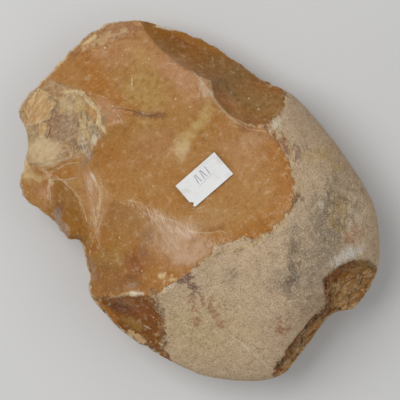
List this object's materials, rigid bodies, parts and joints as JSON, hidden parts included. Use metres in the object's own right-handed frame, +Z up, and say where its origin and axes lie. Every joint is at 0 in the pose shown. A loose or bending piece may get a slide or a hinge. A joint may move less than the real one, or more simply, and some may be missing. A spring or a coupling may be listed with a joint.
{
  "type": "stone hand axe",
  "caption": "Flat knapped flint hand axe with a thin worked edge round its broad tip and a rounded rind-covered butt, lying on its underside, with a small glued paper label.",
  "frame": {"origin": "on the resting plane, below the middle of the overall box", "axes": "+Y along the long axis to the worked tip, +Z up from the resting face, +X across the stone"},
  "size_m": [0.1009, 0.1339, 0.0453],
  "materials": {
    "flint": "honey-brown knapped flint, softly glossy, with a matt sandy rind on the butt",
    "label_paper": "matt off-white paper, slightly soiled"
  },
  "bodies": {
    "root": {"flint_body": "flint", "paper_label": "label_paper"}
  },
  "joints": []
}
